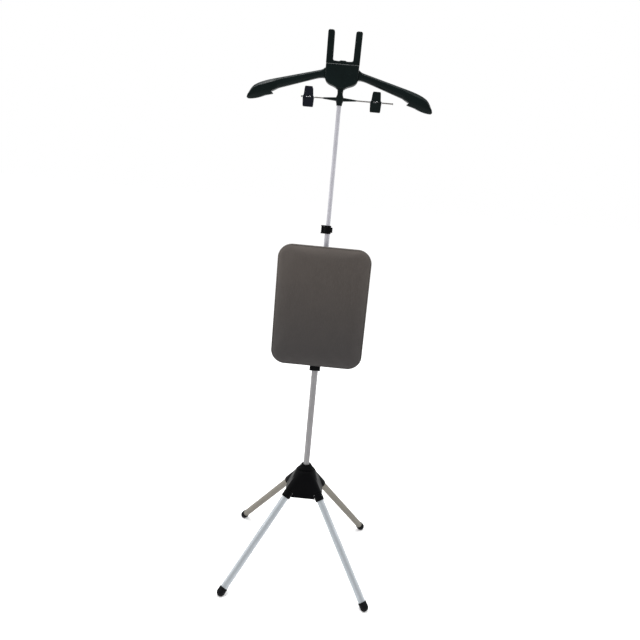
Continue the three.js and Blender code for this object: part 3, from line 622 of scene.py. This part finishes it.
def add_leg_pins():
    shape = turned(rod_profile(LEG_PIN_RADIUS, -LEG_PIN_HALF, LEG_PIN_HALF), 40)
    for leg, azimuth in LEGS.items():
        add_turned("leg_pivot_pin_" + leg, "_turned", shape, leg_place(azimuth, ALONG_Y))


add_tubes()
add_feet()
add_leg_pins()

# ------------------------------------------------------------------ mouldings
# An arm's top and bottom edges as (distance from the middle, height).
ARM_TOP = ((40.3, 1334.6), (52, 1327.9), (165, 1298.6), (197, 1287.6), (210, 1280.1), (225, 1258))
ARM_BOTTOM = ((40.3, 1311), (62, 1307.4), (150, 1278.9), (164, 1264.2), (190, 1256), (225, 1249))
# The arm's section starts beside the shells and reaches its full shape over the blend. Its
# keel and chamfer are shares of its height, and their depths are shares of its thickness.
ARM_ROOT, ARM_BLEND = 41, 6
KEEL_TOP, CHAMFER_START, CHAMFER_RISE = 0.4, 0.78, 0.22
KEEL_DEPTH, CHAMFER_DEPTH, THINNEST = 0.55, 0.62, 0.35

# The neck's bore is filled before its thin sleeves are softened.
NECK_BORE, NECK_HALF = 1.85, 39.9


def arm_section(point):
    """Gives an arm a chamfer along its top and a narrower underside."""
    x, y, z = point
    top, bottom = (np.interp(abs(x), *zip(*edge)) for edge in (ARM_TOP, ARM_BOTTOM))
    rise = (z - bottom) / (top - bottom)
    keel = max(0, 1 - rise / KEEL_TOP)
    chamfer = max(0, (rise - CHAMFER_START) / CHAMFER_RISE)
    blend = min(1, (abs(x) - ARM_ROOT) / ARM_BLEND)
    if blend <= 0:
        return Vector(point)
    narrow = 1 - (KEEL_DEPTH * keel * keel + CHAMFER_DEPTH * chamfer) * blend
    return Vector((x, y * max(narrow, THINNEST), z))


def moulded(node, voxel, passes, shaped, core):
    """A CAD node's shape with every edge softened, as a moulding has. shaped may move its points
    before that, and core is a mesh that fills a bore with a wall too thin to soften."""
    copy = linked(node, nodes[node].data.copy())
    if core:
        both = bmesh.new()
        both.from_mesh(copy.data)
        both.from_mesh(core.data)
        both.to_mesh(copy.data)
        both.free()
        bpy.data.objects.remove(core)
    remeshed(copy, voxel)
    if shaped:
        applied(copy)
        for vertex in copy.data.vertices:
            vertex.co = MM * shaped(vertex.co / MM)
    softened(copy, passes)
    finished(applied(copy), node + "_moulded", [node], sharp=None)


NECK_CORE = mesh_object(
    "neck_core",
    *turned(rod_profile(NECK_BORE, -NECK_HALF, NECK_HALF), 24),
    at(0, 0, ROD_HEIGHT, ALONG_X),
)
SHAPED = {"arm_left": arm_section, "arm_right": arm_section}
CORES = {"neck": NECK_CORE}

# For each moulding: its voxel in millimetres, and how many times it is smoothed.
MOULDINGS = {"hub_body": (0.9, 8), "neck": (0.5, 4)}
for leg in LEGS:
    MOULDINGS["leg_knuckle_" + leg] = (0.6, 6)
for clamp in ("lower", "upper"):
    MOULDINGS[clamp + "_clamp_collar"] = (0.35, 9)
    MOULDINGS[clamp + "_clamp_lever"] = (0.35, 9)
for side in CLIPS:
    MOULDINGS["arm_" + side] = (0.8, 5)
    MOULDINGS["clip_front_jaw_" + side] = (0.35, 5)
    MOULDINGS["clip_rear_jaw_" + side] = (0.35, 5)
MOULDINGS["head_front_shell"] = (0.55, 4)
MOULDINGS["head_rear_shell"] = (0.55, 4)
MOULDINGS["steam_head_fork"] = (0.6, 6)
MOULDINGS["board_carriage"] = (0.6, 6)
MOULDINGS["board_guide"] = (0.5, 6)
for node, (voxel, passes) in MOULDINGS.items():
    moulded(node, voxel, passes, SHAPED.get(node), CORES.get(node))


# ------------------------------------------------------------------ nut, knob, pins and screws
def add_lock_nut():
    """A skirt, a ribbed cone and a collar that is open for the pole."""
    skirt, cone_low, cone_rise, cone_in, steps = 21, 289.6, 9.8, 6.8, 8
    ribs, rib_depth, rib_top, rib_inner = 30, 0.7, 299.5, 13
    profile = [(11.8, 287.4), (19.5, 287.4), (20.5, 287.8), (skirt, 288.8), (skirt, cone_low)]
    for i in range(1, steps + 1):
        profile.append((skirt - cone_in * i / steps, cone_low + cone_rise * i / steps))
    profile += [(13.4, 300.8), (12.3, 301.4), (9.2, 301.5), (8.6, 301.1), (8.6, 297.5)]
    profile += [(11.8, 297.5), (11.8, 287.4)]

    def ribbed(radius, height, angle):
        grip = cone_low <= height <= rib_top and radius > rib_inner
        wave = (0.5 - 0.5 * math.cos(ribs * angle)) ** 2
        return radius - (rib_depth * wave if grip else 0)

    add_turned("pole_lock_nut", "_ribbed", turned(profile, 300, ribbed))


def add_knob():
    """A boss and a grip with lobes, dished at the back."""
    lobes, lobe_height, lobe_start, lobe_ramp = 6, 1.3, 10, 2.5
    low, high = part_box("board_knob")
    height = (low.z + high.z) / 2 / MM
    profile = [(0, 24.4), (2.7, 24.4), (2.7, 15.6), (2.9, 15.4), (5.7, 15.4), (6, 15.7)]
    profile += [(6, 18.4), (6.4, 19), (11.4, 19), (12.5, 19.4), (13, 20.5), (13, 27.6)]
    profile += [(12.6, 29), (11.6, 29.8), (10.4, 30), (8.6, 29.8), (7.6, 29.2), (6.6, 29), (0, 29)]

    def lobed(radius, _, angle):
        share = max(0, min(1, (radius - lobe_start) / lobe_ramp))
        return radius + lobe_height * math.cos(lobes * angle) * share

    add_turned("board_knob", "_grip", turned(profile, 144, lobed), at(0, 0, height, ALONG_Y))


def add_clip_rod():
    """The rod has a rolled lip at each end."""
    left, right, radius, lip = -94, 130, 1.6, 2.3
    profile = [(0, left), (lip - 0.4, left), (lip, left + 0.4), (lip, left + 0.9)]
    profile += [(radius, left + 1.4), (radius, right - 1.4)]
    profile += [(lip, right - 0.9), (lip, right - 0.4), (lip - 0.4, right), (0, right)]
    add_turned("clip_rod", "_turned", turned(profile, 48), at(0, 0, ROD_HEIGHT, ALONG_X))


def add_barrels():
    radius, wall, half, lip = 2.3, 0.5, 15, 0.12
    shape = turned(tube_profile(radius, wall, -half, half, lip), 48)
    for side, x in CLIPS.items():
        add_turned("clip_barrel_" + side, "_turned", shape, at(x, 0, ROD_HEIGHT, ALONG_X))


def add_pins():
    """The knob's stud and the pins of the two clamp levers."""
    laid = {"board_knob_stud": ALONG_Y, "lower_clamp_pin": UPRIGHT, "upper_clamp_pin": UPRIGHT}
    for node, turn in laid.items():
        low, high = (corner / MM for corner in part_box(node))
        middle, half = (low + high) / 2, max(high - low) / 2
        shape = turned(rod_profile((high.x - low.x) / 2, -half, half), 40)
        add_turned(node, "_turned", shape, at(*middle, turn))


def screw_mesh(seat, tip):
    """A pan-head screw along Y with a cross recess, its head behind y = seat."""
    shank, point, head, rim, crown = 1.1, 0.7, 2.8, 0.7, 1.1
    profile = [(0, tip), (point, tip), (shank, tip + 0.9), (shank, seat)]
    profile += [(2.6, seat), (head, seat + 0.2)]
    profile += dome_profile(head, crown, seat + rim, 6)
    screw = mesh_object("screw", *turned(profile, 48), ALONG_Y)
    top = seat + 1.8
    square = ((-1, -1), (1, -1), (1, 1), (-1, 1))
    sides = [(i, (i + 1) % 4, (i + 1) % 4 + 4, i + 4) for i in range(4)]
    for wide, narrow in (((1.6, 0.3), (0.9, 0.16)), ((0.3, 1.6), (0.16, 0.9))):
        corners = [
            (sx * half_x, top - drop, sz * half_z)
            for (half_x, half_z), drop in ((wide, -1), (narrow, 1.1))
            for sx, sz in square
        ]
        blade = mesh_object("blade", corners, [(3, 2, 1, 0), (4, 5, 6, 7), *sides])
        carve = screw.modifiers.new("recess", "BOOLEAN")
        carve.operation, carve.solver, carve.object = "DIFFERENCE", "EXACT", blade
        applied(screw)
        bpy.data.objects.remove(blade)
    mesh = screw.data
    bpy.data.objects.remove(screw)
    return mesh


# For each group of screws: how many there are, and y at the heads' seats and at the tips.
SCREWS = {"board": (4, -17.1, -23.3), "head": (3, 10.9, -9.6)}


def add_screws():
    for group, (count, seat, tip) in SCREWS.items():
        mesh = screw_mesh(seat, tip)
        for number in range(1, count + 1):
            node = f"{group}_screw_{number}"
            low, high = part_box(node)
            placed = mesh.copy()
            placed.transform(Matrix.Translation(((low.x + high.x) / 2, 0, (low.z + high.z) / 2)))
            finished(linked(node, placed), node + "_crosshead", [node])


def add_springs():
    """A coil round each barrel with a leg up each handle."""
    coil, wire, turns, half, leg, steps = 3.3, 0.4, 3.25, 4, 6.2, 96
    path = [(-half, -1.2, leg), (-half, -2.2, 3.6)]
    for i in range(steps + 1):
        angle = math.pi + i / steps * turns * math.tau
        x = -half + 2 * half * i / steps
        path.append((x, coil * math.cos(angle), -coil * math.sin(angle)))
    path += [(half, 3.7, 3.6), (half, 3.9, leg)]
    for side, x in CLIPS.items():
        node = "clip_spring_" + side
        curve = bpy.data.curves.new(node, "CURVE")
        curve.dimensions = "3D"
        curve.bevel_depth = wire * MM
        curve.bevel_resolution = 4
        curve.use_fill_caps = True
        spline = curve.splines.new("POLY")
        spline.points.add(len(path) - 1)
        middle = Vector((x, 0, ROD_HEIGHT))
        for point, place in zip(spline.points, path):
            point.co = (*(MM * (Vector(place) + middle)), 1)
        wound = linked(node, curve)
        mesh = evaluated_mesh(wound)
        bpy.data.objects.remove(wound)
        finished(linked(node, mesh), node + "_wound", [node])


add_lock_nut()
add_knob()
add_clip_rod()
add_barrels()
add_pins()
add_screws()
add_springs()

# ------------------------------------------------------------------ board
WIDTH, HEIGHT, CORNER, CENTRE = 237, 314, 36, 752

# The pad's edge before it is filled, as (inset, y) from its front face to the plate.
BLANK_EDGE = ((8, -34.8), (4.5, -34.3), (1.8, -32.8), (0.5, -30), (0.2, -27), (0.2, -24))
CLOTH_VOXEL, CLOTH_PRESSURE, CLOTH_FRAMES = 5, 4, 20
SWELL = 5
# Along y: the rim is held behind HELD_FROM, the folds are in front of FOLDED_TO, and the pad
# ends at PAD_BACK.
HELD_FROM, FOLDED_TO, PAD_BACK = -29, -28, -23.9
FOLD_DEPTH = 0.8

# The middle line of the hem as (inset, y): over the pad's side and the plate's rim, and then
# behind the plate, where it draws back beside the guide.
HEM_RIM = ((2.2, -28.6), (0.6, -27.6), (-0.2, -25), (0.2, -21.8), (1.5, -20.3), (4, -19.7))
HEM_BACK = ((6.5, -19.5), (9, -19.45), (11.5, -19.5), (13, -19.55))
HEM_HALF, ELASTIC_HALF = 0.55, 0.7
GUIDE_HALF, GUIDE_RAMP, GUIDE_RISE = 17, 12, 20


def board_edge(steps):
    """Places round the board's outline: x, z and the outward direction, evenly spaced."""
    half_x, half_z = (side / 2 - CORNER for side in (WIDTH, HEIGHT))
    bend = CORNER * math.pi / 2
    runs = [2 * half_z, bend, 2 * half_x, bend] * 2
    starts = [(1, -1), (1, 1), (1, 1), (-1, 1), (-1, 1), (-1, -1), (-1, -1), (1, -1)]
    places = []
    for step in range(steps):
        along = step / steps * sum(runs)
        run = 0
        while along > runs[run]:
            along -= runs[run]
            run += 1
        quarter = run // 2 * math.pi / 2
        angle = quarter + (along / CORNER if run % 2 else 0)
        out_x, out_z = math.cos(angle), math.sin(angle)
        x, z = starts[run][0] * half_x, starts[run][1] * half_z
        if run % 2 == 0:
            x -= along * math.sin(quarter)
            z += along * math.cos(quarter)
        places.append((x + CORNER * out_x, CENTRE + z + CORNER * out_z, out_x, out_z))
    return places


def swept(places, section_at):
    """A closed band round the board's edge. section_at(step, x, z) gives its section's corners
    as (inset, y)."""
    vertices = []
    for step, (x, z, out_x, out_z) in enumerate(places):
        section = section_at(step, x, z)
        vertices += [(x - inset * out_x, y, z - inset * out_z) for inset, y in section]
    corners, count = len(section), len(places)
    faces = []
    for step in range(count):
        here, there = step * corners, (step + 1) % count * corners
        for i in range(corners):
            j = (i + 1) % corners
            faces.append((here + i, here + j, there + j, there + i))
    return vertices, faces


def pad_blank():
    """The pad before it is filled: a slab with rounded rims, a little smaller than the cover."""
    places = board_edge(160)
    count = len(places)
    vertices = [
        (x - inset * out_x, y, z - inset * out_z)
        for inset, y in BLANK_EDGE
        for x, z, out_x, out_z in places
    ]
    faces = [tuple(range(count)), tuple(range(len(vertices) - count, len(vertices)))]
    for low in range(0, len(vertices) - count, count):
        for i in range(count):
            j = (i + 1) % count
            faces.append((low + i, low + j, low + count + j, low + count + i))
    return mesh_object("board_pad", vertices, faces)


def inflated(obj):
    """Cloth pressure swells the form in front of its rim, and no point moves further than the
    swell, which it nears softly."""
    remeshed(obj, CLOTH_VOXEL)
    applied(obj)
    before = [v.co.copy() for v in obj.data.vertices]
    held = obj.vertex_groups.new(name="held")
    held.add([v.index for v in obj.data.vertices if v.co.y > HELD_FROM * MM], 1, "REPLACE")
    cloth = obj.modifiers.new("air", "CLOTH")
    cloth.settings.use_pressure = True
    cloth.settings.uniform_pressure_force = CLOTH_PRESSURE
    cloth.settings.effector_weights.gravity = 0
    cloth.settings.vertex_group_mass = held.name
    cloth.point_cache.frame_start, cloth.point_cache.frame_end = 1, CLOTH_FRAMES
    for step in range(1, CLOTH_FRAMES + 1):
        SCENE.frame_set(step)
    applied(obj)
    SCENE.frame_set(1)
    for vertex, start in zip(obj.data.vertices, before):
        move = vertex.co - start
        if move.length > 0:
            reached = math.tanh(move.length / (SWELL * MM))
            vertex.co = start + move.normalized() * SWELL * MM * reached
    soft = softened(obj, 8)
    soft.vertex_group, soft.invert_vertex_group = held.name, True
    applied(obj)


def slack_at(x, z):
    """How slack the cover is: slow folds, and finer ones near the top."""
    rise = (z - CENTRE) / HEIGHT + 0.5
    slow = noise.noise(Vector((x / 22, 3, z / 60))) * (0.25 + 0.6 * rise)
    fine = noise.noise(Vector((x / 9, 8, z / 45))) * 0.35 * max(0, rise - 0.55)
    return slow + fine


def add_pad():
    pad = pad_blank()
    inflated(pad)
    for vertex in pad.data.vertices:
        x, y, z = vertex.co / MM
        if y < FOLDED_TO:
            vertex.co.y -= slack_at(x, z) * FOLD_DEPTH * MM
        vertex.co.y = min(vertex.co.y, PAD_BACK * MM)
    pad.modifiers.new("rounded", "SUBSURF").levels = 1
    applied(pad)
    finished(pad, "board_pad", ["board_cover", "board_foam"], sharp=None)


def hem_section(step, x, z):
    """The cover's hem, from the pad's side, over the plate's rim, to the elastic behind it. It
    lies flat where it passes the guide, and is gathered elsewhere."""
    low = CENTRE - HEIGHT / 2
    free = 1 if z > low + GUIDE_RISE else max(0, min(1, (abs(x) - GUIDE_HALF) / GUIDE_RAMP))
    reach = 0.3 + 0.7 * free
    rim_end = HEM_RIM[-1][0]
    line = [*HEM_RIM, *((rim_end + (inset - rim_end) * reach, y) for inset, y in HEM_BACK)]
    wave = math.sin(step * 0.62 + 2.2 * noise.noise(Vector((x / 30, z / 30, 4))))
    pinch = noise.noise(Vector((x / 11, z / 11, 9)))
    middle = []
    for i, (inset, y) in enumerate(line):
        slack = max(0, (i - 3) / 6) * free
        half = HEM_HALF if i < 8 else HEM_HALF + ELASTIC_HALF * free * (i - 7) / 2
        lift = y + slack * (0.55 * wave + 0.4 * pinch + 0.35) - (1 - free) * 0.35 * (i > 4)
        middle.append((inset + slack * (0.8 * wave * pinch), lift, half))
    outer, inner = [], []
    for i, (inset, y, half) in enumerate(middle):
        before, after = middle[max(i - 1, 0)], middle[min(i + 1, len(middle) - 1)]
        run, rise = after[0] - before[0], after[1] - before[1]
        length = math.hypot(run, rise)
        aside, up = -rise / length * half, run / length * half
        outer.append((inset + aside, y + up))
        inner.append((inset - aside, y - up))
    inset, y, half = middle[-1]
    return outer + [(inset + half * 0.8, y)] + inner[::-1]


def add_hem():
    hem = mesh_object("board_cover_hem", *swept(board_edge(720), hem_section))
    finished(hem, "board_cover_hem", ["board_cover"], sharp=60)


def add_plate():
    """The plate stays the CAD's own, with its edges broken."""
    edges = nodes["board_plate"].modifiers.new("edges", "BEVEL")
    edges.width = 0.5 * MM
    edges.segments = 2
    edges.limit_method = "ANGLE"
    edges.angle_limit = math.radians(40)


add_pad()
add_hem()
add_plate()
